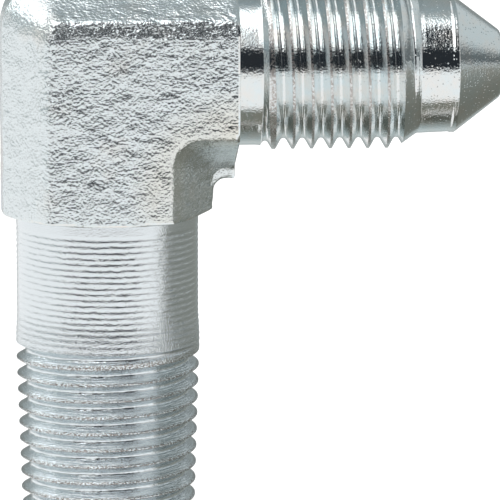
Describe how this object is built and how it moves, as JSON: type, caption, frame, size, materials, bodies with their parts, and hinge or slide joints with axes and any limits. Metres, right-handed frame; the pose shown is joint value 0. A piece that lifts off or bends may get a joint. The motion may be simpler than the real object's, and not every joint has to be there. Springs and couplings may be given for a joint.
{
  "type": "long male elbow adapter",
  "caption": "Forged steel right-angle hydraulic fitting: a long shank with a tapered male pipe thread, and a male flare end with a straight thread and sealing cone.",
  "frame": {"origin": "where the axes of the two legs cross, inside the flow passage", "axes": "+X along the flare leg out of its mouth, -Z along the pipe leg out of its mouth, Y across the wrench flats"},
  "size_m": [0.0282, 0.0114, 0.0317],
  "materials": {
    "zinc_plated_steel": "clear zinc plating, satin to bright where turned, rough and pitted where forged"
  },
  "bodies": {
    "root": {"elbow_adapter": "zinc_plated_steel"}
  },
  "joints": []
}
